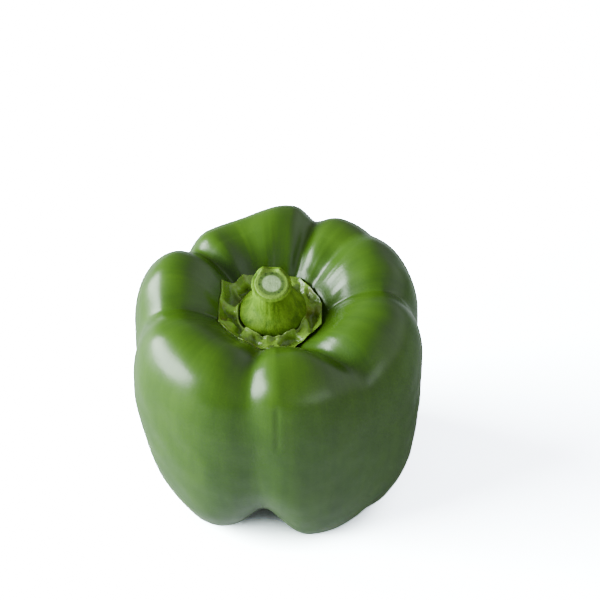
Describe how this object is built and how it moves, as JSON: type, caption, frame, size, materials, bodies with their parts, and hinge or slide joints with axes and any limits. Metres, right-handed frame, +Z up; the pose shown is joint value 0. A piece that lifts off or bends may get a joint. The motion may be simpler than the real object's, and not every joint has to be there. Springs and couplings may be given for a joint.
{
  "type": "bell pepper",
  "caption": "Green bell pepper, picked, standing upright on the feet of its lobes, with a deep lobed shoulder, a ragged calyx and a short cut stem.",
  "frame": {"origin": "middle of the bell pepper's box in X and Y, on the plane that its feet stand on", "axes": "+Z up through the stem; -Y towards the side that the picture shows, where the deepest crease is; +X to that view's right"},
  "size_m": [0.0808, 0.0824, 0.0819],
  "materials": {
    "skin": "glossy waxy deep green skin, mottled, lighter yellow-green on the crests of the lobes",
    "calyx": "satin fleshy green with a pale torn edge",
    "stem": "satin yellow-green with fine lengthwise fibres and a pale cut end"
  },
  "bodies": {
    "root": {"fruit": "skin", "calyx": "calyx", "stem": "stem"}
  },
  "joints": []
}
